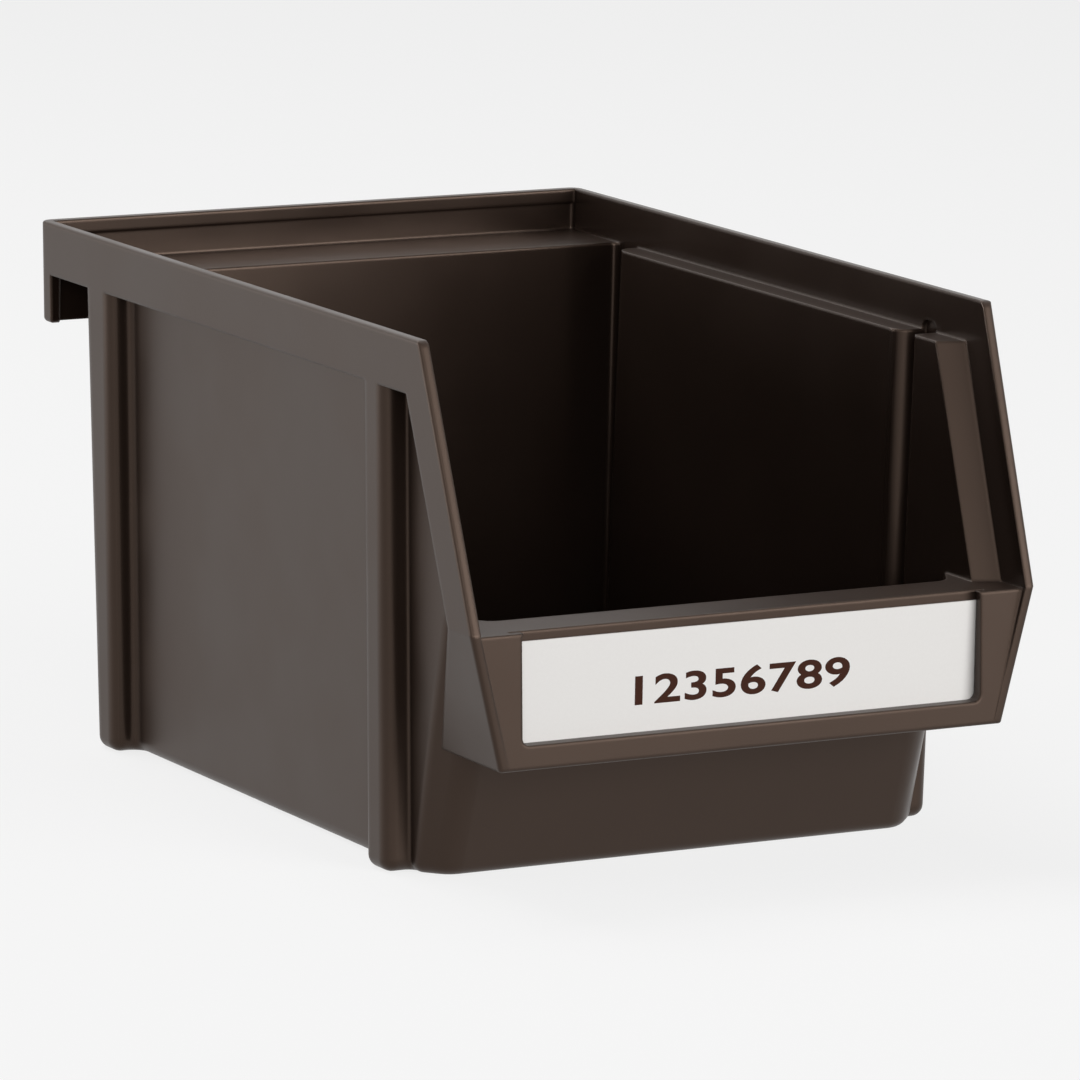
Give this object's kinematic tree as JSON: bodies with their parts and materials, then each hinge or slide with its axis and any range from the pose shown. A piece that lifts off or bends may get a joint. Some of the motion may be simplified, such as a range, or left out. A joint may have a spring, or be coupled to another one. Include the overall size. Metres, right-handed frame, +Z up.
{
  "type": "self-service dispensing bin",
  "caption": "Open-front self-service bin with recessed side panels, a rear hook rim, and a label box across the lip that holds a lift-out card.",
  "frame": {"origin": "middle of the box that the bin fills, at the height of its base", "axes": "+Z up, +Y from the front lip to the hook rim, +X to the right of a person facing the rear, square to the side walls"},
  "size_m": [0.16, 0.2368, 0.134],
  "materials": {
    "bin_plastic": "satin moulded dark brown",
    "card_paper": "smooth white card"
  },
  "bodies": {
    "bin": {"bin_body": "bin_plastic"},
    "card": {"label_card": "card_paper"}
  },
  "joints": [
    {"name": "card_lift_out", "type": "slide", "parent": "bin", "child": "card", "axis": [0, 0, 1], "range_m": [0, 0.045]}
  ]
}
